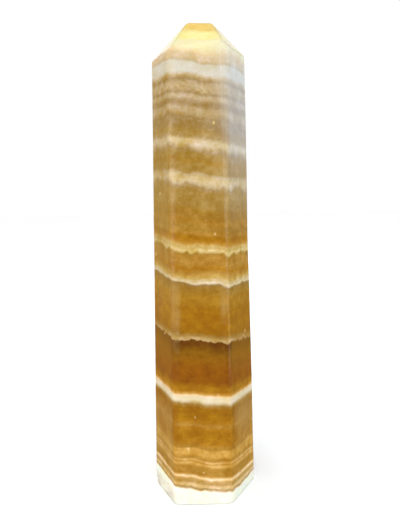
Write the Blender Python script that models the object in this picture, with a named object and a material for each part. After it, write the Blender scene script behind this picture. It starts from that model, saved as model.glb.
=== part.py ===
"""Calcite point: a six-sided tower of banded honey calcite, cut and polished from one stone.

The tower stands on its sawn base, tapers a little upwards, and ends in a point of six facets
that meet along a short ridge. X runs to the right across the front, Y to the back and Z up.
The origin is the middle of the base. The bands are colour in the stone, so nothing here is raised.
"""

import bmesh
import bpy
from mathutils import Vector

MM = 0.001

# Driving dimensions, in millimetres.
# The six sides would meet here if they ran on, which sets the taper: a little to the right
# of the middle, because the left side leans in more than the right.
SIDES_MEET_AT = (2.0, 0.0, 1205.0)

# Each corner of the base, going round from the left: its name, its X and Y, and the height
# at which the upright edge above it ends and the point begins. The back right edge has no
# height of its own, because the back facet ends it.
CORNERS = (
    ("left", -20.4, -0.4, 166.5),
    ("front_left", -11.6, -17.4, 166.9),
    ("front_right", 10.2, -17.4, 169.0),
    ("right", 20.4, 0.4, 168.0),
    ("back_right", 11.6, 17.4, None),
    ("back_left", -9.9, 17.4, 171.2),
)

# The ridge runs from left to right, falls a little and turns towards the front.
RIDGE_LEFT = (-3.4, 1.2, 181.1)
RIDGE_RIGHT_X_AND_HEIGHT = (5.4, 180.0)

# Polishing has rounded every edge by about this much.
EDGE_SOFTENING = 0.45
EDGE_STEPS = 2

# Corners of the base that are worn away: how high the wear reaches up the edge, and how deep
# it goes at the base.
WORN_CORNERS = (
    ("left", 6.5, 0.9),
    ("front_left", 2.2, 0.7),
    ("front_right", 2.8, 0.9),
    ("back_right", 2.0, 0.6),
)

HONEY = (0.60, 0.33, 0.09, 1.0)
POLISH_ROUGHNESS = 0.22


def clear_objects():
    for old in list(bpy.data.objects):
        bpy.data.objects.remove(old, do_unlink=True)


def on_edge(base, height):
    """The point at a height on the upright edge that starts at a base corner."""
    apex = Vector(SIDES_MEET_AT)
    return base.lerp(apex, height / apex.z)


def plane_through(a, b, c):
    """A point and the normal of the plane through three points."""
    return a, (b - a).cross(c - a)


def corner_points():
    """Base and shoulder points by corner name, and the two ends of the ridge."""
    base = {name: Vector((x, y, 0.0)) for name, x, y, height in CORNERS}
    shoulder = {name: on_edge(base[name], height) for name, x, y, height in CORNERS if height}

    # The right end of the ridge lies in the front facet, at a given X and height.
    ridge_left = Vector(RIDGE_LEFT)
    point, normal = plane_through(shoulder["front_left"], shoulder["front_right"], ridge_left)
    x, z = RIDGE_RIGHT_X_AND_HEIGHT
    y = point.y - (normal.x * (x - point.x) + normal.z * (z - point.z)) / normal.y
    ridge_right = Vector((x, y, z))

    # The back right edge ends where it meets the back facet.
    point, normal = plane_through(ridge_left, ridge_right, shoulder["back_left"])
    corner = base["back_right"]
    upwards = Vector(SIDES_MEET_AT) - corner
    share = normal.dot(point - corner) / normal.dot(upwards)
    shoulder["back_right"] = corner + upwards * share
    return base, shoulder, ridge_left, ridge_right


def cut_tower(bm):
    """The tower with sharp edges: base, six sides, and a point of six facets."""
    base, shoulder, ridge_left, ridge_right = corner_points()
    names = [corner[0] for corner in CORNERS]
    low = {name: bm.verts.new(base[name] * MM) for name in names}
    high = {name: bm.verts.new(shoulder[name] * MM) for name in names}
    left_end = bm.verts.new(ridge_left * MM)
    right_end = bm.verts.new(ridge_right * MM)

    bm.faces.new([low[name] for name in reversed(names)])
    for name, following in zip(names, names[1:] + names[:1]):
        bm.faces.new((low[name], low[following], high[following], high[name]))

    bm.faces.new((high["front_left"], high["front_right"], right_end, left_end))
    bm.faces.new((high["back_right"], high["back_left"], left_end, right_end))
    bm.faces.new((high["left"], high["front_left"], left_end))
    bm.faces.new((high["back_left"], high["left"], left_end))
    bm.faces.new((high["front_right"], high["right"], right_end))
    bm.faces.new((high["right"], high["back_right"], right_end))
    bmesh.ops.recalc_face_normals(bm, faces=bm.faces[:])


def grind_flat(bm, point, normal):
    """Take away what lies beyond a plane, and close the stone there."""
    everything = bm.verts[:] + bm.edges[:] + bm.faces[:]
    cut = bmesh.ops.bisect_plane(
        bm,
        geom=everything,
        plane_co=point,
        plane_no=normal,
        clear_outer=True,
    )
    rim = [part for part in cut["geom_cut"] if isinstance(part, bmesh.types.BMEdge)]
    bmesh.ops.contextual_create(bm, geom=rim)


def wear_base_corners(bm):
    places = {name: Vector((x, y, 0.0)) for name, x, y, height in CORNERS}
    for name, reach, depth in WORN_CORNERS:
        corner = places[name]
        outward = corner.normalized()
        top = on_edge(corner, reach)
        bottom = corner - outward * depth
        across = Vector((-outward.y, outward.x, 0.0))
        normal = across.cross(top - bottom).normalized()
        grind_flat(bm, top * MM, normal)


def soften_edges(bm):
    bmesh.ops.bevel(
        bm,
        geom=bm.edges[:],
        offset=EDGE_SOFTENING * MM,
        segments=EDGE_STEPS,
        profile=0.5,
        affect="EDGES",
        clamp_overlap=True,
    )
    bmesh.ops.recalc_face_normals(bm, faces=bm.faces[:])


def stone_material():
    material = bpy.data.materials.new("honey_calcite")
    material.use_nodes = True
    shader = material.node_tree.nodes["Principled BSDF"]
    shader.inputs["Base Color"].default_value = HONEY
    shader.inputs["Roughness"].default_value = POLISH_ROUGHNESS
    shader.inputs["Metallic"].default_value = 0.0
    return material


def make_point():
    bm = bmesh.new()
    cut_tower(bm)
    wear_base_corners(bm)
    soften_edges(bm)
    mesh = bpy.data.meshes.new("calcite_point")
    bm.to_mesh(mesh)
    bm.free()
    mesh.materials.append(stone_material())
    stone = bpy.data.objects.new("calcite_point", mesh)
    bpy.context.scene.collection.objects.link(stone)
    return stone


clear_objects()
make_point()
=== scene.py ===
"""The looks of the calcite point: the polished banded stone, its floor, lights and camera.

Lengths are in millimetres until they reach Blender, which works in metres. X runs to the right
across the front of the tower, Y to the back and Z up from the middle of its base.
"""

import math

import bmesh
import bpy
import numpy as np
from mathutils import Matrix, Vector, noise


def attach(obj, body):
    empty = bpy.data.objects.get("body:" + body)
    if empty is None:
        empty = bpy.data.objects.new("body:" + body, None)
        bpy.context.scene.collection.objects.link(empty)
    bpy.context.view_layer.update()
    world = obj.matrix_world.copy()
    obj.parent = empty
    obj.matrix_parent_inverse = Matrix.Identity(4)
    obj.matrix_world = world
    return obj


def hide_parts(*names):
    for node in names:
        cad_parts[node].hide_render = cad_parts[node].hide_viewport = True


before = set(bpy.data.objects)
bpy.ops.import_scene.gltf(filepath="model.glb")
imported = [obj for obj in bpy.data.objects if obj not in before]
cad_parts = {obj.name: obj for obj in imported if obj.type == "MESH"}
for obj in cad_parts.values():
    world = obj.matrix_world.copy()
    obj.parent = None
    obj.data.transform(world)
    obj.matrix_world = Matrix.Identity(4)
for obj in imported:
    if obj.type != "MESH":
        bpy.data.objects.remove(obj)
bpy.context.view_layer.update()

MM = 0.001

# The stone, as the solid has it: where its six sides would meet, the corners of its base with
# the height at which each upright edge ends, and the two ends of its ridge.
SIDES_MEET_AT = (2.0, 0.0, 1205.0)
CORNERS = (
    ("left", -20.4, -0.4, 166.5),
    ("front_left", -11.6, -17.4, 166.9),
    ("front_right", 10.2, -17.4, 169.0),
    ("right", 20.4, 0.4, 168.0),
    ("back_right", 11.6, 17.4, None),
    ("back_left", -9.9, 17.4, 171.2),
)
RIDGE_LEFT = (-3.4, 1.2, 181.1)
RIDGE_RIGHT_X_AND_HEIGHT = (5.4, 180.0)
# The worn corners of the base: how far up the edge and how far in from it each is worn.
WORN_CORNERS = (
    ("left", 6.5, 0.9),
    ("front_left", 2.2, 0.7),
    ("front_right", 2.8, 0.9),
    ("back_right", 2.0, 0.6),
)

# The fine surface: edge rounding, the spacing of its rows and columns of points, and how near a
# cut may pass a point before it goes through it.
EDGE_ROUNDING = 0.62
EDGE_STEPS = 4
ROW_SPACING = 0.85
COLUMNS = 144
CUT_SNAP = 1e-4

# How far hand polishing leaves the faces off flat, always inwards. A start is where in the noise
# each kind of unevenness begins.
WAVE_DEPTH = 0.10
WAVE_LENGTH = 24.0
WAVE_START = Vector((3.1, 0.0, 7.7))
RIPPLE_DEPTH = 0.025
RIPPLE_LENGTH = 7.0
RIPPLE_START = Vector((9.4, 2.0, 1.3))
EDGE_WEAR_DEPTH = 0.10
EDGE_WEAR_LENGTH = 2.2
EDGE_WEAR_START = Vector((0.7, 5.0, 4.1))
# How far a direction is turned from flat, as 1 less its cosine, where an edge wears in full.
EDGE_TURN = 0.03
BASE_FLAT_UP_TO = 0.6
RIGHT_HOLLOW_DEPTH = 0.35
RIGHT_HOLLOW_HEIGHT = 100.0
RIGHT_HOLLOW_REACH = 20.0

# Two front edges grow soft towards the point: the corner below each and the next corner, with
# the radius at the shoulder. They start at this height and radius.
SOFT_EDGES = (("front_left", "left", 5.0), ("front_right", "right", 9.0))
SOFT_FROM = 75.0
START_RADIUS = 1.05
# The radius of the edge under the front facet.
SHOULDER_RADIUS = 4.0

# At this share of a corner's height, the middle of the tower is inside the stone.
SHARE_INSIDE = 0.9
# Keeps a division from failing where a length is nought.
TINY = 1e-6


def on_edge(base, height):
    """The point at a height on the upright edge that starts at a base corner."""
    apex = Vector(SIDES_MEET_AT)
    return base.lerp(apex, height / apex.z)


def corner_points():
    """Base and shoulder points by corner name, and the two ends of the ridge."""
    base = {name: Vector((x, y, 0.0)) for name, x, y, height in CORNERS}
    shoulder = {name: on_edge(base[name], height) for name, x, y, height in CORNERS if height}

    ridge_left = Vector(RIDGE_LEFT)
    start = shoulder["front_left"]
    normal = (shoulder["front_right"] - start).cross(ridge_left - start)
    x, z = RIDGE_RIGHT_X_AND_HEIGHT
    y = start.y - (normal.x * (x - start.x) + normal.z * (z - start.z)) / normal.y
    ridge_right = Vector((x, y, z))

    normal = (ridge_right - ridge_left).cross(shoulder["back_left"] - ridge_left)
    corner = base["back_right"]
    upwards = Vector(SIDES_MEET_AT) - corner
    share = normal.dot(ridge_left - corner) / normal.dot(upwards)
    shoulder["back_right"] = corner + upwards * share
    return base, shoulder, ridge_left, ridge_right


def cut_tower(bm):
    """The tower with sharp edges: base, six sides, and a point of six facets."""
    base, shoulder, ridge_left, ridge_right = corner_points()
    names = [corner[0] for corner in CORNERS]
    low = {name: bm.verts.new(base[name]) for name in names}
    high = {name: bm.verts.new(shoulder[name]) for name in names}
    left_end = bm.verts.new(ridge_left)
    right_end = bm.verts.new(ridge_right)

    bm.faces.new([low[name] for name in reversed(names)])
    for name, following in zip(names, names[1:] + names[:1]):
        bm.faces.new((low[name], low[following], high[following], high[name]))

    bm.faces.new((high["front_left"], high["front_right"], right_end, left_end))
    bm.faces.new((high["back_right"], high["back_left"], left_end, right_end))
    bm.faces.new((high["left"], high["front_left"], left_end))
    bm.faces.new((high["back_left"], high["left"], left_end))
    bm.faces.new((high["front_right"], high["right"], right_end))
    bm.faces.new((high["right"], high["back_right"], right_end))
    bmesh.ops.recalc_face_normals(bm, faces=bm.faces[:])


def grind_flat(bm, point, normal):
    """Take away what lies beyond a plane, and close the stone there."""
    cut = bmesh.ops.bisect_plane(
        bm,
        geom=bm.verts[:] + bm.edges[:] + bm.faces[:],
        plane_co=point,
        plane_no=normal,
        clear_outer=True,
    )
    rim = [part for part in cut["geom_cut"] if isinstance(part, bmesh.types.BMEdge)]
    bmesh.ops.contextual_create(bm, geom=rim)


def wear_base_corners(bm):
    places = {name: Vector((x, y, 0.0)) for name, x, y, height in CORNERS}
    for name, reach, depth in WORN_CORNERS:
        corner = places[name]
        outward = corner.normalized()
        top = on_edge(corner, reach)
        bottom = corner - outward * depth
        across = Vector((-outward.y, outward.x, 0.0))
        grind_flat(bm, top, across.cross(top - bottom).normalized())


def round_edges(bm):
    bmesh.ops.bevel(
        bm,
        geom=bm.edges[:],
        offset=EDGE_ROUNDING,
        segments=EDGE_STEPS,
        profile=0.5,
        affect="EDGES",
        clamp_overlap=True,
    )


def slice_surface(bm):
    """Cut the faces into rows and columns of points, without taking anything away."""
    for column in range(COLUMNS // 2):
        angle = (column + 0.5) * 2.0 * math.pi / COLUMNS
        cut_through(bm, Vector((0.0, 0.0, 0.0)), Vector((math.cos(angle), math.sin(angle), 0.0)))
    top = max(vert.co.z for vert in bm.verts)
    rows = int(top / ROW_SPACING)
    for row in range(1, rows):
        cut_through(bm, Vector((0.0, 0.0, top * row / rows)), Vector((0.0, 0.0, 1.0)))


def cut_through(bm, point, normal):
    bmesh.ops.bisect_plane(
        bm,
        geom=bm.verts[:] + bm.edges[:] + bm.faces[:],
        dist=CUT_SNAP,
        plane_co=point,
        plane_no=normal,
    )


def flat_directions():
    """The outward directions of the stone's flat faces."""
    bm = bmesh.new()
    cut_tower(bm)
    directions = np.array([face.normal[:] for face in bm.faces])
    bm.free()
    return directions


def round_off(places, start, end, sides, radius_at_start, radius_at_end):
    """Pull points in to a cylinder that rounds off the edge between two flat sides."""
    start, end = np.array(start), np.array(end)
    first, second = (np.array(side) for side in sides)
    along = end - start
    outward = (first + second) / np.linalg.norm(first + second)
    across = np.cross(along / np.linalg.norm(along), outward)
    across *= np.sign(across @ second)
    half_turn = 0.5 * math.acos(first @ second)

    share = np.clip(((places - start) @ along) / (along @ along), 0.0, 1.0)
    radius = radius_at_start + share * (radius_at_end - radius_at_start)
    foot = start + ((places - start) @ along / (along @ along))[:, None] * along
    axis = foot - outward * (radius / math.cos(half_turn))[:, None]
    spoke = places - axis
    reach = np.linalg.norm(spoke, axis=1)
    turn = np.arctan2(spoke @ across, spoke @ outward)
    outside = (np.abs(turn) < half_turn) & (reach > radius)
    pulled = axis + spoke * (radius / np.maximum(reach, TINY))[:, None]
    return np.where(outside[:, None], pulled, places)


def soften_front_edges(places):
    """Wide rounding of the two front edges towards the point, and under the front facet."""
    base, shoulder, ridge_left = corner_points()[:3]

    def outward(a, b, c):
        """The direction of the face through three corners, away from a point inside the stone."""
        normal = (b - a).cross(c - a).normalized()
        inside = Vector((0.0, 0.0, a.z * SHARE_INSIDE))
        return normal if normal.dot(a - inside) > 0.0 else -normal

    front = outward(base["front_left"], base["front_right"], shoulder["front_left"])
    facet = outward(shoulder["front_left"], shoulder["front_right"], ridge_left)
    for name, neighbour, radius in SOFT_EDGES:
        side = outward(base[name], base[neighbour], shoulder[name])
        low = on_edge(base[name], SOFT_FROM)
        places = round_off(places, low, shoulder[name], (front, side), START_RADIUS, radius)
    left, right = shoulder["front_left"], shoulder["front_right"]
    return round_off(places, left, right, (front, facet), SHOULDER_RADIUS, SHOULDER_RADIUS)


def polish_by_hand(bm):
    """Push points a little inwards, as hand polishing leaves them."""
    bm.normal_update()
    flats = flat_directions()
    places = np.array([vert.co[:] for vert in bm.verts])
    directions = np.array([vert.normal[:] for vert in bm.verts])
    # A point on a rounded edge is turned away from every flat direction.
    off_flat = 1.0 - (directions @ flats.T).max(axis=1)
    on_edges = np.clip(off_flat / EDGE_TURN, 0.0, 1.0)

    def noise_at(length, start):
        return np.array([0.5 + 0.5 * noise.noise(Vector(p / length) + start) for p in places])

    depth = WAVE_DEPTH * noise_at(WAVE_LENGTH, WAVE_START)
    depth += RIPPLE_DEPTH * noise_at(RIPPLE_LENGTH, RIPPLE_START)
    depth += EDGE_WEAR_DEPTH * on_edges * noise_at(EDGE_WEAR_LENGTH, EDGE_WEAR_START)
    hollow = np.exp(-(((places[:, 2] - RIGHT_HOLLOW_HEIGHT) / RIGHT_HOLLOW_REACH) ** 2))
    facing_right = np.clip(directions[:, 0], 0.0, 1.0) ** 2
    depth += RIGHT_HOLLOW_DEPTH * hollow * facing_right
    # The base stays flat.
    depth *= np.clip(places[:, 2] / BASE_FLAT_UP_TO, 0.0, 1.0)
    moved = soften_front_edges(places) - directions * depth[:, None]
    for vert, place in zip(bm.verts, moved):
        vert.co = place


def make_stone():
    bm = bmesh.new()
    cut_tower(bm)
    wear_base_corners(bm)
    round_edges(bm)
    slice_surface(bm)
    bmesh.ops.recalc_face_normals(bm, faces=bm.faces[:])
    polish_by_hand(bm)
    bmesh.ops.scale(bm, vec=(MM, MM, MM), verts=bm.verts[:])
    for face in bm.faces:
        face.smooth = True
    mesh = bpy.data.meshes.new("calcite_stone")
    bm.to_mesh(mesh)
    bm.free()
    stone = bpy.data.objects.new("calcite_stone", mesh)
    bpy.context.scene.collection.objects.link(stone)
    return stone


class Nodes:
    """Adds nodes to a material. An input may be a number, a tuple or another node's output."""

    def __init__(self, material):
        self.tree = material.node_tree

    def add(self, kind, inputs, **settings):
        node = self.tree.nodes.new(kind)
        for name, value in settings.items():
            setattr(node, name, value)
        for name, value in inputs.items():
            self.set(node.inputs[name], value)
        return node

    def set(self, socket, value):
        if isinstance(value, bpy.types.NodeSocket):
            self.tree.links.new(value, socket)
        else:
            socket.default_value = value

    def math(self, operation, a, b=0.0, clamp=False):
        node = self.add("ShaderNodeMath", {0: a, 1: b}, operation=operation, use_clamp=clamp)
        return node.outputs[0]

    def total(self, *values):
        result = values[0]
        for value in values[1:]:
            result = self.math("ADD", result, value)
        return result

    def times(self, *values):
        result = values[0]
        for value in values[1:]:
            result = self.math("MULTIPLY", result, value)
        return result

    def stretch(self, vector, scales):
        """A vector with its X, Y and Z multiplied by three numbers."""
        node = self.add("ShaderNodeVectorMath", {0: vector, 1: scales}, operation="MULTIPLY")
        return node.outputs[0]

    def noise(self, vector, scale, detail=2.0, roughness=0.5):
        """Noise from about -1 to 1."""
        node = self.add(
            "ShaderNodeTexNoise",
            {"Vector": vector, "Scale": scale, "Detail": detail, "Roughness": roughness},
        )
        return self.centred(node.outputs["Fac"])

    def stretched_noise(self, place, scales, scale, detail=2.0, roughness=0.5):
        """Noise at a place whose X, Y and Z are multiplied first."""
        return self.noise(self.stretch(place, scales), scale, detail, roughness)

    def turned(self, vector, angle):
        """A vector turned about Y."""
        node = self.add(
            "ShaderNodeVectorRotate",
            {"Vector": vector, "Angle": angle},
            rotation_type="Y_AXIS",
        )
        return node.outputs[0]

    def centred(self, value):
        return self.math("SUBTRACT", self.math("MULTIPLY", value, 2.0), 1.0)

    def cells(self, vector, scale):
        return self.add("ShaderNodeTexVoronoi", {"Vector": vector, "Scale": scale})

    def bump_at(self, value, centre, reach):
        """A smooth hill, 1 where value is at centre and nearly 0 past reach."""
        apart = self.math("DIVIDE", self.math("SUBTRACT", value, centre), reach)
        square = self.math("MULTIPLY", apart, apart)
        return self.math("EXPONENT", self.math("MULTIPLY", square, -1.0))

    def hill(self, value, centre, reach, most):
        """A smooth hill that is most high."""
        return self.times(self.bump_at(value, centre, reach), most)

    def between(self, value, low, high, to_low=0.0, to_high=1.0):
        """A smooth change from to_low, where value is low, to to_high, where it is high."""
        limits = {"From Min": low, "From Max": high, "To Min": to_low, "To Max": to_high}
        node = self.add(
            "ShaderNodeMapRange",
            {"Value": value, **limits},
            interpolation_type="SMOOTHSTEP",
        )
        return node.outputs["Result"]

    def mix(self, share, a, b, blend="MIX"):
        """A mix of two colours, whose sockets follow those for numbers and vectors."""
        node = self.tree.nodes.new("ShaderNodeMix")
        node.data_type = "RGBA"
        node.blend_type = blend
        self.set(node.inputs[0], share)
        self.set(node.inputs[6], a)
        self.set(node.inputs[7], b)
        return node.outputs[2]

    def ramp(self, value, low, high, stops):
        """Colours by value, from stops of value and colour between low and high."""
        node = self.tree.nodes.new("ShaderNodeValToRGB")
        elements = node.color_ramp.elements
        while len(elements) > 1:
            elements.remove(elements[0])
        for number, (place, colour) in enumerate(stops):
            share = (place - low) / (high - low)
            element = elements[0] if number == 0 else elements.new(share)
            element.position = share
            element.color = colour
        spot = self.math("DIVIDE", self.math("SUBTRACT", value, low), high - low)
        self.set(node.inputs[0], spot)
        return node.outputs[0]


# How much brighter than a white card in the studio daylight is.
DAYLIGHT = 1.12


def daylight(red, green, blue):
    """A colour as it looks in plain daylight, from 0 to 255, made linear as sRGB lays down."""

    def linear(value):
        share = value / 255.0
        if share <= 0.04045:
            return share / 12.92 / DAYLIGHT
        return ((share + 0.055) / 1.055) ** 2.4 / DAYLIGHT

    return (linear(red), linear(green), linear(blue), 1.0)


# The colours of the layers, roughly from the palest to the darkest.
WHITE = (0.97, 0.97, 0.80, 1.0)
IVORY = daylight(240, 223, 188)
CREAM = daylight(251, 218, 166)
CHALK = daylight(230, 208, 166)
ASH = daylight(219, 209, 184)
BUTTER = daylight(230, 193, 128)
LINEN = daylight(220, 197, 154)
PALE = daylight(216, 189, 132)
DUN = daylight(203, 177, 129)
STRAW = daylight(212, 179, 104)
CREAM_YELLOW = daylight(228, 202, 136)
WHEAT = daylight(226, 180, 102)
TOFFEE = daylight(215, 165, 74)
MALT = daylight(186, 156, 100)
FAWN = daylight(176, 145, 93)
TAUPE = daylight(170, 139, 86)
OAT = daylight(195, 168, 120)
EARTH = daylight(198, 156, 84)
BISCUIT = daylight(204, 165, 78)
CARAMEL = daylight(199, 147, 53)
HAZEL = daylight(174, 138, 65)
OCHRE = daylight(185, 136, 48)
HONEY = daylight(172, 129, 44)
OLIVE = daylight(164, 122, 44)
DRAB = daylight(158, 122, 66)
SAND = daylight(176, 138, 66)
LIGHT_SAND = daylight(200, 166, 104)
GOLD = daylight(177, 128, 28)
AMBER = daylight(181, 124, 19)
SAFFRON = daylight(171, 117, 7)
RUST = daylight(164, 110, 7)
RUSSET = daylight(147, 94, 4)
UMBER = daylight(137, 89, 3)
DUSK = daylight(125, 78, 2)
BURNT = daylight(148, 86, 1)
DARK = daylight(114, 66, 5)

# The colours of the point's layers. Milk, lemon and apricot near the tip are partly painted
# glow, lighter and yellower for light through the thin point.
STREAK = daylight(204, 180, 138)
PEACH = daylight(222, 196, 152)
SHELL = daylight(238, 213, 166)
MILK = daylight(245, 234, 186)
LEMON = daylight(251, 240, 164)
APRICOT = daylight(243, 209, 118)

# The colours that cloud or tint the layers in places, and those that paint light and shade.
# Cloudy stone, and also painted highlight along the front face's edges.
CLOUDY_AND_EDGE_HIGHLIGHT = daylight(198, 166, 104)
# Painted glints: small bright specks where light catches the crystals.
GLINT = daylight(246, 214, 140)
# Faint pink and grey low on the base.
LOW_BASE_TINT = daylight(214, 196, 180)
# A painted grey reflection on the upper right.
REFLECTION_GREY = daylight(202, 200, 198)
# Painted shade on parts of the sides.
SHADE = daylight(172, 138, 70)
SYRUP = daylight(168, 116, 10)
FAN = daylight(224, 198, 150)

# The layers from the base up: the height of each colour up the middle of the front face.
LAYERS = (
    (0.0, WHITE),
    (5.4, WHITE),
    (5.9, BUTTER),
    (6.5, FAWN),
    (7.2, BUTTER),
    (7.9, BUTTER),
    (8.7, EARTH),
    (9.6, EARTH),
    (10.2, WHEAT),
    (10.6, CREAM),
    (11.0, CREAM),
    (11.4, WHEAT),
    (12.0, OCHRE),
    (14.9, OCHRE),
    (15.6, TOFFEE),
    (16.1, WHEAT),
    (16.6, CARAMEL),
    (17.3, WHEAT),
    (18.2, OCHRE),
    (19.0, CARAMEL),
    (19.6, TOFFEE),
    (21.7, TOFFEE),
    (22.3, OCHRE),
    (24.5, AMBER),
    (27.3, SAFFRON),
    (29.9, AMBER),
    (31.3, OCHRE),
    (32.4, AMBER),
    (34.0, SAFFRON),
    (36.4, RUST),
    (37.8, RUST),
    (39.1, SAND),
    (39.9, LINEN),
    (40.7, IVORY),
    (41.9, IVORY),
    (42.5, CREAM),
    (43.1, TOFFEE),
    (44.0, AMBER),
    (45.6, SAFFRON),
    (47.6, BURNT),
    (53.0, BURNT),
    (56.5, RUSSET),
    (58.8, UMBER),
    (60.6, DUSK),
    (61.9, DARK),
    (62.7, DARK),
    (63.1, LIGHT_SAND),
    (63.7, LIGHT_SAND),
    (64.6, SAND),
    (65.4, OLIVE),
    (66.0, RUST),
    (68.9, SAFFRON),
    (72.2, SAFFRON),
    (74.8, SAFFRON),
    (77.5, GOLD),
    (79.8, GOLD),
    (81.5, HONEY),
    (83.1, OLIVE),
    (83.9, DRAB),
    (84.25, DUN),
    (84.65, CHALK),
    (85.4, PALE),
    (86.6, BISCUIT),
    (88.3, OCHRE),
    (89.5, AMBER),
    (91.3, OCHRE),
    (93.5, OCHRE),
    (95.0, HONEY),
    (95.7, STRAW),
    (96.3, CREAM_YELLOW),
    (97.1, STRAW),
    (98.0, STRAW),
    (98.9, CARAMEL),
    (100.0, AMBER),
    (101.3, SAFFRON),
    (102.5, OCHRE),
    (104.5, HONEY),
    (106.9, OCHRE),
    (108.3, HONEY),
    (111.0, HONEY),
    (112.6, HAZEL),
    (115.3, HAZEL),
    (117.6, HAZEL),
    (119.0, FAWN),
    (120.0, DUN),
    (120.9, LINEN),
    (122.1, PALE),
    (123.3, DUN),
    (124.4, HAZEL),
    (126.3, HAZEL),
    (128.2, HONEY),
    (129.4, HAZEL),
    (130.6, HAZEL),
    (131.7, FAWN),
    (132.9, DUN),
    (134.0, LINEN),
    (135.2, LINEN),
    (136.4, MALT),
    (138.4, HAZEL),
    (140.5, TAUPE),
    (143.4, TAUPE),
    (144.3, MALT),
    (145.3, OAT),
    (146.3, OAT),
    (147.5, TAUPE),
    (148.7, TAUPE),
    (149.9, OAT),
    (150.7, OAT),
    (151.8, TAUPE),
    (152.8, MALT),
    (154.8, OAT),
    (156.3, TAUPE),
    (157.1, MALT),
    (157.8, DUN),
    (158.9, ASH),
    (161.7, ASH),
    (162.5, STREAK),
    (163.3, PEACH),
    (164.3, PEACH),
    (165.4, SHELL),
    # From here to the tip the colours are partly painted glow of light through the thin point.
    (167.0, MILK),
    (170.2, MILK),
    (171.6, LEMON),
    (174.6, LEMON),
    (176.6, APRICOT),
    (180.5, APRICOT),
)

# A colour ramp holds at most this many stops.
RAMP_STOPS = 32

# About where the front face is along Y.
FRONT_FACE = -17.0

# How the layers run across the stone: a low and a high height, and the value below the one and
# above the other. They step down where X and the step's place cancel out.
TILT = (25.0, 70.0, 0.035, 0.11)
STEP = (15.0, 60.0, 0.55, 0.12)
UPPER_STEP = (98.0, 112.0, 0.0, 0.35)
STEP_PLACE = (15.0, 60.0, 2.4, 0.5)
STEP_STEEPNESS = 0.62

# How they run to the back: the height where they rise or dip most, how far up and down that
# reaches, and the slope.
RISE_BEHIND = (92.0, 36.0, 0.085)
DIP_BEHIND = (13.0, 9.0, -0.11)

# Their slow waves and ripples, each with the stretch, scale and detail of its noise. The waves
# grow with the height, and the ripples are the same all over.
LAYER_WAVES = ((1.0, 1.0, 0.4), 0.10, 1.0)
LAYER_WAVE_DEPTH = (30.0, 120.0, 0.3, 0.8)
LAYER_RIPPLES = ((1.0, 1.0, 0.3), 0.32, 1.0)
LAYER_RIPPLE_DEPTH = 0.40

# Lower edges that hang in wide lobes or in small scallops: height, how far up and down the
# shapes reach, and how deep they are.
LOBED_EDGES = (
    (6.2, 1.6, 0.9),
    (84.3, 1.6, 0.9),
    (95.6, 1.6, 1.5),
    (119.8, 2.2, 1.8),
    (133.0, 2.2, 1.2),
    (144.5, 2.0, 0.8),
)
SCALLOPED_EDGES = (
    (6.2, 1.2, 0.15),
    (63.0, 1.6, 1.1),
    (95.6, 1.6, 0.5),
    (119.8, 2.2, 0.7),
    (133.0, 2.2, 0.7),
)
LOBE_WIDTH = 4.6
SCALLOP_WIDTH = 1.9
# How the shapes hang: their stretch upwards, the level that stays where it is, how far they
# reach from it, and their depth away from those edges.
HANG_STRETCH = (1.0, 1.0, 0.12)
HANG_LEVEL = 0.28
HANG_REACH = 1.6
HANG_EVERYWHERE = 0.05

# Where the layers swell up or sag: how far across and up, how far that reaches each way, and
# how much the layers are lifted.
SWELLS = (
    (-21.0, 9.0, 7.0, 16.0, 3.0),
    (1.5, 16.0, 3.5, 14.0, -0.3),
    (3.0, 70.0, 9.0, 45.0, 0.4),
    (-16.0, 25.0, 5.0, 7.0, 0.6),
    (-17.0, 38.0, 5.0, 14.0, 1.0),
    (-15.0, 64.0, 4.0, 5.0, 1.0),
    (10.5, 64.0, 2.0, 6.0, 0.7),
    (18.0, 52.0, 6.0, 16.0, -0.7),
    (-17.0, 92.0, 5.0, 14.0, 1.2),
    (-13.0, 98.0, 2.5, 7.0, 0.4),
    (-4.8, 90.0, 2.6, 12.0, -1.1),
    (-1.8, 95.0, 1.6, 6.0, 0.5),
    (3.0, 92.0, 7.0, 9.0, 0.45),
    (6.0, 92.0, 3.0, 10.0, 0.6),
    (-4.8, 123.0, 2.3, 10.0, -1.1),
    (-8.5, 128.0, 2.5, 10.0, 0.4),
    (0.8, 128.0, 3.2, 13.0, 0.8),
    (6.5, 136.0, 2.5, 10.0, 0.5),
    (16.0, 128.0, 8.0, 14.0, 0.6),
    (-17.0, 146.0, 4.0, 17.0, -0.5),
    (-10.5, 157.0, 5.0, 6.0, -0.7),
    (-10.5, 168.0, 5.0, 4.5, 0.6),
    (16.0, 152.0, 8.0, 12.0, 1.1),
    (10.0, 168.5, 6.0, 4.0, 1.5),
    (17.0, 169.0, 8.0, 9.0, 2.2),
)


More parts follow.
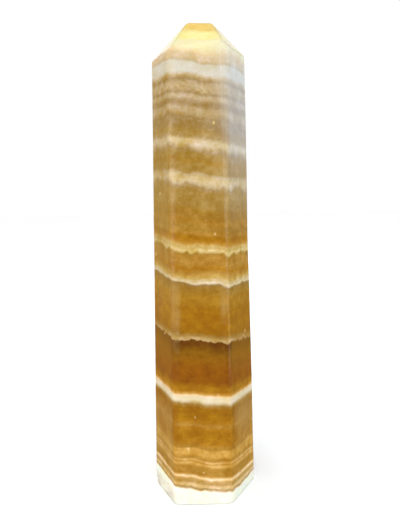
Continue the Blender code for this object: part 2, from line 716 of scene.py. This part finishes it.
def layer_height(nodes, place):
    """How far up the growth of the stone a point is, as a height on the front face."""
    parts = nodes.add("ShaderNodeSeparateXYZ", {0: place})
    x, y, z = parts.outputs

    # The layers fall to the right, less so near the base, and step down in the middle.
    tilt = nodes.between(z, *TILT)
    step = nodes.total(nodes.between(z, *STEP), nodes.between(z, *UPPER_STEP))
    from_step = nodes.math("ADD", x, nodes.between(z, *STEP_PLACE))
    bend = nodes.math("TANH", nodes.times(from_step, STEP_STEEPNESS))
    sideways = nodes.total(nodes.times(tilt, x), nodes.times(step, bend))

    # They rise to the back in the middle of the tower, and fall there near its base.
    slope = nodes.total(nodes.hill(z, *RISE_BEHIND), nodes.hill(z, *DIP_BEHIND))
    behind = nodes.math("SUBTRACT", y, FRONT_FACE)
    backwards = nodes.times(behind, slope, -1.0)

    straight = nodes.total(z, sideways, backwards)

    # Slow waves and ripples, with rounded lobes and scallops under some layers.
    waves = nodes.stretched_noise(place, *LAYER_WAVES)
    ripples = nodes.stretched_noise(place, *LAYER_RIPPLES)
    return nodes.total(
        straight,
        nodes.times(swell(nodes, x, z), -1.0),
        nodes.times(waves, nodes.between(z, *LAYER_WAVE_DEPTH)),
        nodes.times(ripples, LAYER_RIPPLE_DEPTH),
        hanging_shapes(nodes, place, straight, LOBE_WIDTH, LOBED_EDGES),
        hanging_shapes(nodes, place, straight, SCALLOP_WIDTH, SCALLOPED_EDGES),
    )


def swell(nodes, x, z):
    """How far the layers are lifted at a place."""
    lift = 0.0
    for across, up, reach_across, reach_up, most in SWELLS:
        hill = nodes.times(nodes.bump_at(x, across, reach_across), nodes.bump_at(z, up, reach_up))
        lift = nodes.total(nodes.times(hill, most), lift)
    return lift


def hanging_shapes(nodes, place, height, width, edges):
    """Rounded shapes of one width, hung around the lower edges of some layers."""
    apart = nodes.cells(nodes.stretch(place, HANG_STRETCH), 1.0 / width).outputs["Distance"]
    roundness = nodes.math("SUBTRACT", HANG_LEVEL, nodes.times(apart, apart))
    depth = HANG_EVERYWHERE
    for edge, reach, most in edges:
        depth = nodes.total(nodes.hill(height, edge, reach, most), depth)
    return nodes.times(roundness, HANG_REACH, depth)


def layer_colour(nodes, height):
    colour = None
    for first in range(0, len(LAYERS) - 1, RAMP_STOPS - 1):
        stops = LAYERS[first:first + RAMP_STOPS]
        low, high = stops[0][0], stops[-1][0]
        part = nodes.ramp(height, low, high, stops)
        if colour is None:
            colour = part
        else:
            colour = nodes.mix(nodes.math("GREATER_THAN", height, low), colour, part)
    return colour


def along_growth(nodes, height):
    """A place that changes only from layer to layer, for lines that follow them."""
    return nodes.add("ShaderNodeCombineXYZ", {0: 0.0, 1: 0.0, 2: height}).outputs[0]


# The mottling in columns, blotches and grain: the stretch, scale, detail, roughness and weight
# of each noise. The growth lines have a scale, detail and roughness, and a weight.
MOTTLING = (
    ((1.0, 1.0, 0.45), 0.16, 2.0, 0.5, 0.9),
    ((1.0, 1.0, 1.2), 0.30, 3.0, 0.6, 1.1),
    ((1.0, 1.0, 1.5), 0.80, 2.0, 0.5, 0.45),
)
GROWTH_LINES = (0.9, 3.0, 0.6)
GROWTH_LINE_WEIGHT = 0.25
# It is weaker in colours with much blue, such as the white layers', and near the point.
MOTTLING_BY_BLUE = (0.05, 0.6, 2.0, 0.25)
MOTTLING_BY_HEIGHT = (160.0, 172.0, 1.0, 0.35)
DEEPER = (0.86, 0.77, 0.42, 1.0)
LIGHTER = (1.20, 1.28, 1.75, 1.0)


def mottle(nodes, place, height, colour):
    """Growth columns, blotches, grain and fine growth lines, weaker in white layers."""
    spots = []
    for scales, scale, detail, roughness, weight in MOTTLING:
        spot = nodes.stretched_noise(place, scales, scale, detail, roughness)
        spots.append(nodes.times(spot, weight))
    lines = nodes.noise(along_growth(nodes, height), *GROWTH_LINES)
    shade = nodes.total(*spots, nodes.times(lines, GROWTH_LINE_WEIGHT))

    channels = nodes.add("ShaderNodeSeparateColor", {0: colour})
    strength = nodes.between(channels.outputs["Blue"], *MOTTLING_BY_BLUE)
    calm = nodes.between(height, *MOTTLING_BY_HEIGHT)
    shade = nodes.times(shade, strength, calm)
    deeper = nodes.mix(1.0, colour, DEEPER, "MULTIPLY")
    lighter = nodes.mix(1.0, colour, LIGHTER, "MULTIPLY")
    colour = nodes.mix(nodes.math("MULTIPLY", shade, -1.0, clamp=True), colour, deeper)
    return nodes.mix(nodes.math("MULTIPLY", shade, 1.0, clamp=True), colour, lighter)


# The fans of cream crystal: the stretch, scale, detail and roughness of the noise they come
# from, how much of it shows, the height, reach and share of their layers, and their strength.
FAN_SPOTS = ((1.0, 1.0, 0.8), 0.50, 3.0, 0.65)
FAN_SHOWS = (0.05, 0.40)
FAN_LAYERS = ((153.8, 2.0, 1.0), (122.0, 2.0, 0.6), (135.0, 2.0, 0.6), (163.5, 1.6, 0.8))
FAN_STRENGTH = 0.6


def cream_fans(nodes, place, height, colour):
    """Small fans of cream crystal between the fine layers of the upper part."""
    spots = nodes.stretched_noise(place, *FAN_SPOTS)
    layers = nodes.total(*[nodes.hill(height, *layer) for layer in FAN_LAYERS])
    shown = nodes.times(nodes.between(spots, *FAN_SHOWS), layers, FAN_STRENGTH)
    return nodes.mix(shown, colour, FAN)


# Where the stone is cloudy, and how much, and where painted highlight lies along the front face's
# edges. ACROSS, BACK and UP say where along X, Y and Z: a hill's middle and reach, or after FROM
# the two places between which it comes in.
FROM_BACK_OF_FRONT = (-12.0, -15.0)
FROM_BACK_OF_SIDES = (-16.0, -13.5)
# Painted highlight along the front face's edges: across, up, the noise that breaks it, its share.
LEFT_HIGHLIGHT_ACROSS = (-9.6, 1.6)
RIGHT_HIGHLIGHT_ACROSS = (7.9, 1.8)
HIGHLIGHTS_UP = (72.0, 17.0)
HIGHLIGHT_NOISE = (0.22, 3.0, 0.6)
HIGHLIGHT_BREAKS = (-0.5, 0.4, 0.4, 1.0)
HIGHLIGHT_SHARE = 0.46
FROM_RIGHT_FRONT_ACROSS = (2.5, 8.0)
RIGHT_FRONT_UP = (114.0, 14.0)
RIGHT_FRONT_SHARE = 0.40
LOW_SIDES_UP = (33.0, 7.0)
LOW_SIDES_SHARE = 0.28
FROM_LOW_RIGHT_ACROSS = (11.0, 15.0)
LOW_RIGHT_UP = (26.0, 11.0)
LOW_RIGHT_SHARE = 0.25
PATCHES = ((1.0, 1.0, 0.3), 0.11, 2.0)
PATCH_SHARE = (58.0, 70.0, 0.25, 0.5)
CLEAR_SHARE = -0.10


def cloud_and_edge_highlights(nodes, place, colour):
    """Cloudy patches and sides, and a painted highlight along the front face's edges."""
    parts = nodes.add("ShaderNodeSeparateXYZ", {0: place})
    x, y, z = parts.outputs
    front = nodes.between(y, *FROM_BACK_OF_FRONT)
    sides = nodes.between(y, *FROM_BACK_OF_SIDES)
    # Painted highlight in strips along the front face's two edges.
    edge_highlights = nodes.times(
        nodes.total(nodes.bump_at(x, *LEFT_HIGHLIGHT_ACROSS), nodes.bump_at(x, *RIGHT_HIGHLIGHT_ACROSS)),
        nodes.bump_at(z, *HIGHLIGHTS_UP),
        front,
        nodes.between(nodes.noise(place, *HIGHLIGHT_NOISE), *HIGHLIGHT_BREAKS),
    )
    right = nodes.between(x, *FROM_RIGHT_FRONT_ACROSS)
    right_front = nodes.times(right, nodes.bump_at(z, *RIGHT_FRONT_UP), front)
    low_sides = nodes.times(sides, nodes.bump_at(z, *LOW_SIDES_UP))
    far_right = nodes.between(x, *FROM_LOW_RIGHT_ACROSS)
    low_right = nodes.times(far_right, nodes.bump_at(z, *LOW_RIGHT_UP))
    patches = nodes.stretched_noise(place, *PATCHES)
    amount = nodes.total(
        nodes.times(edge_highlights, HIGHLIGHT_SHARE),
        nodes.times(right_front, RIGHT_FRONT_SHARE),
        nodes.times(low_sides, LOW_SIDES_SHARE),
        nodes.times(low_right, LOW_RIGHT_SHARE),
        nodes.times(patches, nodes.between(z, *PATCH_SHARE)),
        CLEAR_SHARE,
    )
    return nodes.mix(nodes.math("MULTIPLY", amount, 1.0, clamp=True), colour, CLOUDY_AND_EDGE_HIGHLIGHT)


# Tints, with places as above: golden on the sides' deep brown, painted shade that darkens parts
# of the sides, each with where it comes in across, where it is up and its share, and a painted
# grey reflection to the upper right.
GOLDEN_UP = (60.0, 13.0)
GOLDEN_SHARE = 0.45
PAINTED_SHADE_PARTS = (
    ((-9.5, -12.5), (116.0, 34.0), 0.48),
    ((8.0, 14.0), (124.0, 14.0), 0.40),
    ((-11.0, -13.0), (22.0, 9.0), 0.40),
)
# Where the painted grey reflection lies across and back, how far up, and its share.
FROM_REFLECTION_ACROSS = (2.0, 13.0)
FROM_REFLECTION_BACK = (14.0, -2.0)
REFLECTION_UP = (152.0, 22.0)
REFLECTION_SHARE = 0.38


def tint_shade_and_reflection(nodes, place, colour):
    """A golden tint, painted shade on parts of the sides and a painted grey reflection."""
    parts = nodes.add("ShaderNodeSeparateXYZ", {0: place})
    x, y, z = parts.outputs
    sides = nodes.between(y, *FROM_BACK_OF_SIDES)
    golden = nodes.times(sides, nodes.bump_at(z, *GOLDEN_UP), GOLDEN_SHARE)
    colour = nodes.mix(golden, colour, SYRUP)
    # Painted shade that darkens parts of the sides.
    painted_shade = []
    for across, up, share in PAINTED_SHADE_PARTS:
        painted_shade.append(nodes.times(nodes.between(x, *across), nodes.bump_at(z, *up), share))
    colour = nodes.mix(nodes.total(*painted_shade), colour, SHADE)
    right_half = nodes.times(nodes.between(x, *FROM_REFLECTION_ACROSS), nodes.between(y, *FROM_REFLECTION_BACK))
    # Painted reflection: grey on the upper right, towards the front.
    painted_reflection = nodes.times(right_half, nodes.bump_at(z, *REFLECTION_UP), REFLECTION_SHARE)
    return nodes.mix(painted_reflection, colour, REFLECTION_GREY)


# The painted glints, small bright specks where light catches the crystals: the stretch and scale
# of the cells they sit in, the scale of the noise that shakes those, which cells have one, and
# its size, soft edge and strength.
GLINT_STRETCH = (1.0, 1.0, 0.7)
GLINT_CELLS = 0.35
GLINT_SHAKE = 1.1
GLINT_PICK = (0.86, 1.0)
GLINT_SIZE = (0.0, 0.24)
GLINT_EDGE = 0.12
GLINT_STRENGTH = 0.65


def painted_glints(nodes, place, colour):
    """Painted glints: small bright specks here and there."""
    shake = nodes.add("ShaderNodeTexNoise", {"Vector": place, "Scale": GLINT_SHAKE, "Detail": 1.0})
    moved = {0: place, 1: shake.outputs["Color"]}
    shaken = nodes.add("ShaderNodeVectorMath", moved, operation="ADD").outputs[0]
    cells = nodes.cells(nodes.stretch(shaken, GLINT_STRETCH), GLINT_CELLS)
    pick = nodes.add("ShaderNodeSeparateColor", {0: cells.outputs["Color"]})
    size = nodes.between(pick.outputs["Red"], *GLINT_PICK, *GLINT_SIZE)
    near = nodes.math("SUBTRACT", size, cells.outputs["Distance"])
    shown = nodes.between(near, 0.0, GLINT_EDGE)
    return nodes.mix(nodes.times(shown, GLINT_STRENGTH), colour, GLINT)


# The pink and grey low on the base: the heights between which it comes in, the scale, detail and
# roughness of its noise, how much of that shows, and its share from the left of the front face
# outwards.
LOW_BASE_TINT_UP = (7.0, 3.0)
LOW_BASE_TINT_NOISE = (0.16, 4.0, 0.65)
LOW_BASE_TINT_SHOWS = (-0.4, 0.3)
LOW_BASE_TINT_SHARE = (-10.0, -14.0, 0.1, 1.0)


def tint_low_base(nodes, place, colour):
    """Faint pink and grey low on the white base, stronger towards the bottom, most of it to the
    left.
    """
    parts = nodes.add("ShaderNodeSeparateXYZ", {0: place})
    low = nodes.between(parts.outputs["Z"], *LOW_BASE_TINT_UP)
    patches = nodes.between(nodes.noise(place, *LOW_BASE_TINT_NOISE), *LOW_BASE_TINT_SHOWS)
    to_the_left = nodes.between(parts.outputs["X"], *LOW_BASE_TINT_SHARE)
    return nodes.mix(nodes.times(low, patches, to_the_left), colour, LOW_BASE_TINT)


# The relief of the polish: how deep it is, and the noise and weight of each kind of mark.
RELIEF_DEPTH = 0.02
SCRATCHES = ((1.0, 1.0, 0.08), 2.2, 2.0)
SCRATCH_WEIGHT = 0.08
SLANTING_SCRATCHES = ((1.0, 1.0, 0.06), 1.8, 1.0)
SLANT = 0.5
SLANTING_WEIGHT = 0.12
GRAIN = (1.6, 3.0, 0.6)
GRAIN_WEIGHT = 0.40
RELIEF_LINES = (1.4, 2.0)
RELIEF_LINE_WEIGHT = 0.35
PIT_CELLS = 0.75
PIT_SIZE = (0.16, 0.02)
PIT_WEIGHT = -0.8


def polish_relief(nodes, place, height):
    """The shallow relief that polishing leaves: fine scratches, grain, pits and growth lines."""
    scratches = nodes.stretched_noise(place, *SCRATCHES)
    slanting = nodes.stretched_noise(nodes.turned(place, SLANT), *SLANTING_SCRATCHES)
    grain = nodes.noise(place, *GRAIN)
    lines = nodes.noise(along_growth(nodes, height), *RELIEF_LINES)
    pits = nodes.between(nodes.cells(place, PIT_CELLS).outputs["Distance"], *PIT_SIZE)
    relief = nodes.total(
        nodes.times(scratches, SCRATCH_WEIGHT),
        nodes.times(slanting, SLANTING_WEIGHT),
        nodes.times(grain, GRAIN_WEIGHT),
        nodes.times(lines, RELIEF_LINE_WEIGHT),
        nodes.times(pits, PIT_WEIGHT),
    )
    inputs = {"Height": relief, "Strength": 1.0, "Distance": RELIEF_DEPTH * MM}
    return nodes.add("ShaderNodeBump", inputs).outputs["Normal"]


# The shine: its roughness, how much that varies and with which noise, the refraction, and how
# strong it is. Some light scatters under the surface, as far as SCATTER_REACH in red and less
# far in green and blue.
ROUGHNESS = 0.19
ROUGHNESS_CHANGE = 0.06
ROUGHNESS_NOISE = (0.25, 4.0, 0.6)
REFRACTION = 1.48
SHINE = 0.40
SCATTERED_SHARE = 0.35
SCATTER_REACH = 1.5
SCATTER_BY_COLOUR = (1.0, 0.5, 0.2)


def calcite_material():
    material = bpy.data.materials.new("honey_calcite_banded")
    material.use_nodes = True
    nodes = Nodes(material)
    shader = material.node_tree.nodes["Principled BSDF"]

    own = nodes.add("ShaderNodeTexCoord", {})
    per_metre = 1.0 / MM
    place = nodes.stretch(own.outputs["Object"], (per_metre, per_metre, per_metre))
    height = layer_height(nodes, place)

    colour = layer_colour(nodes, height)
    colour = mottle(nodes, place, height, colour)
    colour = cream_fans(nodes, place, height, colour)
    colour = cloud_and_edge_highlights(nodes, place, colour)
    colour = tint_shade_and_reflection(nodes, place, colour)
    colour = painted_glints(nodes, place, colour)
    colour = tint_low_base(nodes, place, colour)
    nodes.set(shader.inputs["Base Color"], colour)
    nodes.set(shader.inputs["Normal"], polish_relief(nodes, place, height))

    uneven = nodes.times(nodes.noise(place, *ROUGHNESS_NOISE), ROUGHNESS_CHANGE)
    nodes.set(shader.inputs["Roughness"], nodes.total(ROUGHNESS, uneven))
    shader.inputs["IOR"].default_value = REFRACTION
    shader.inputs["Specular IOR Level"].default_value = SHINE
    shader.inputs["Subsurface Weight"].default_value = SCATTERED_SHARE
    shader.inputs["Subsurface Radius"].default_value = SCATTER_BY_COLOUR
    shader.inputs["Subsurface Scale"].default_value = SCATTER_REACH * MM
    return material


# The floor, in metres.
FLOOR_HALF = 4.0
FLOOR_COLOUR = (0.93, 0.93, 0.93, 1.0)
FLOOR_ROUGHNESS = 0.8
FLOOR_SHINE = 0.1


def floor_material():
    material = bpy.data.materials.new("pale_floor")
    material.use_nodes = True
    shader = material.node_tree.nodes["Principled BSDF"]
    shader.inputs["Base Color"].default_value = FLOOR_COLOUR
    shader.inputs["Roughness"].default_value = FLOOR_ROUGHNESS
    shader.inputs["Specular IOR Level"].default_value = FLOOR_SHINE
    return material


def make_floor():
    mesh = bpy.data.meshes.new("floor")
    half = FLOOR_HALF
    corners = ((-half, -half, 0.0), (half, -half, 0.0), (half, half, 0.0), (-half, half, 0.0))
    mesh.from_pydata(corners, [], [(0, 1, 2, 3)])
    mesh.materials.append(floor_material())
    floor = bpy.data.objects.new("floor", mesh)
    bpy.context.scene.collection.objects.link(floor)
    floor.visible_glossy = False


# The lights, in metres. All the soft boxes are turned to the middle of the stone.
MIDDLE = (0.0, 0.0, 0.09)
WHITE_LIGHT = (1.0, 1.0, 1.0)

# The sky: the direction it comes from, its spread in degrees and its strength.
SKY = ((-0.15, -0.25, 1.0), 70.0, 0.75)

# The soft boxes: name, place, width, height, strength and colour.
SOFT_BOXES = (
    ("key", (-0.55, -0.85, 0.32), 0.7, 0.7, 1.20, WHITE_LIGHT),
    ("left_fill", (-1.0, -0.30, 0.18), 0.6, 0.6, 1.5, WHITE_LIGHT),
    ("right_fill", (1.0, -0.35, 0.18), 1.0, 1.0, 1.40, (0.97, 1.0, 0.92)),
    ("back", (0.0, 0.9, 0.50), 0.9, 0.3, 0.9, WHITE_LIGHT),
    ("window", (0.64, 0.44, 0.36), 0.30, 0.34, 1.2, (0.25, 0.55, 1.0)),
)
LOW_WINDOW = ("low_window", (0.66, 0.45, 0.17), 0.30, 0.17, 0.6, (0.35, 0.68, 1.0))

# A row of narrow panels to the right, brighter towards the back: the angle from the camera's
# side and the strength of each, and what they share.
SIDE_PANELS = ((55.0, 0.5), (68.0, 0.8), (81.0, 1.1), (94.0, 1.3), (107.0, 1.4))
PANEL_DISTANCE = 0.8
PANEL_UP = 0.34
PANEL_WIDTH = 0.17
PANEL_HEIGHT = 0.34
PANEL_COLOUR = (0.35, 0.64, 1.0)


def soft_light(name, place, width, height, strength, colour):
    """A soft box whose face gives out strength times white."""
    lamp = bpy.data.lights.new(name, "AREA")
    lamp.shape = "RECTANGLE"
    lamp.size = width
    lamp.size_y = height
    lamp.energy = strength * math.pi * width * height
    lamp.color = colour
    box = bpy.data.objects.new(name, lamp)
    box.location = place
    box.rotation_euler = (Vector(MIDDLE) - Vector(place)).to_track_quat("-Z", "Y").to_euler()
    box.visible_camera = False
    bpy.context.scene.collection.objects.link(box)


def broad_light(name, direction, spread, strength):
    """Even light over the whole floor, from a wide patch of sky in one direction."""
    lamp = bpy.data.lights.new(name, "SUN")
    lamp.angle = math.radians(spread)
    lamp.energy = strength * math.pi
    sky = bpy.data.objects.new(name, lamp)
    sky.rotation_euler = Vector(direction).to_track_quat("Z", "Y").to_euler()
    sky.visible_glossy = False
    bpy.context.scene.collection.objects.link(sky)


# How bright the room is: as the stone is lit by it, and as the polish reflects it.
ROOM_LIGHT = 0.40
ROOM_IN_POLISH = 0.10


def light_room():
    """A white backdrop behind the stone, in a dimmer room with dark walls."""
    world = bpy.data.worlds.new("studio")
    bpy.context.scene.world = world
    world.use_nodes = True
    nodes = Nodes(world)
    path = nodes.add("ShaderNodeLightPath", {})
    seen = nodes.times(path.outputs["Is Camera Ray"], 1.0 - ROOM_LIGHT)
    reflected = nodes.times(path.outputs["Is Glossy Ray"], ROOM_IN_POLISH - ROOM_LIGHT)
    backdrop = world.node_tree.nodes["Background"]
    backdrop.inputs["Color"].default_value = (1.0, 1.0, 1.0, 1.0)
    nodes.set(backdrop.inputs["Strength"], nodes.total(ROOM_LIGHT, seen, reflected))


def light_scene():
    light_room()
    broad_light("sky", *SKY)
    for box in SOFT_BOXES:
        soft_light(*box)
    for degrees, strength in SIDE_PANELS:
        angle = math.radians(degrees)
        place = (PANEL_DISTANCE * math.sin(angle), -PANEL_DISTANCE * math.cos(angle), PANEL_UP)
        soft_light("side_panel", place, PANEL_WIDTH, PANEL_HEIGHT, strength, PANEL_COLOUR)
    soft_light(*LOW_WINDOW)


# The camera: where it is, how far it looks down and is rolled in degrees, its lens and sensor,
# and how near it sees.
CAMERA_PLACE = (-0.47, -194.8, 114.9)
CAMERA_DOWN = 6.67
CAMERA_ROLL = 1.11
CAMERA_LENS = 34.8
CAMERA_SENSOR = 36.0
CAMERA_NEAR = 10.0


def make_camera():
    data = bpy.data.cameras.new("camera")
    data.lens = CAMERA_LENS
    data.sensor_width = CAMERA_SENSOR
    data.clip_start = CAMERA_NEAR * MM
    camera = bpy.data.objects.new("camera", data)
    camera.location = Vector(CAMERA_PLACE) * MM
    tilt = Matrix.Rotation(math.radians(90.0 - CAMERA_DOWN), 3, "X")
    roll = Matrix.Rotation(math.radians(-CAMERA_ROLL), 3, "Z")
    camera.rotation_euler = (tilt @ roll).to_euler()
    bpy.context.scene.collection.objects.link(camera)
    bpy.context.scene.camera = camera


stone = make_stone()
stone.data.materials.append(calcite_material())
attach(stone, "root")
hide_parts("calcite_point")
make_floor()
light_scene()
make_camera()
bpy.context.scene.view_settings.view_transform = "Standard"
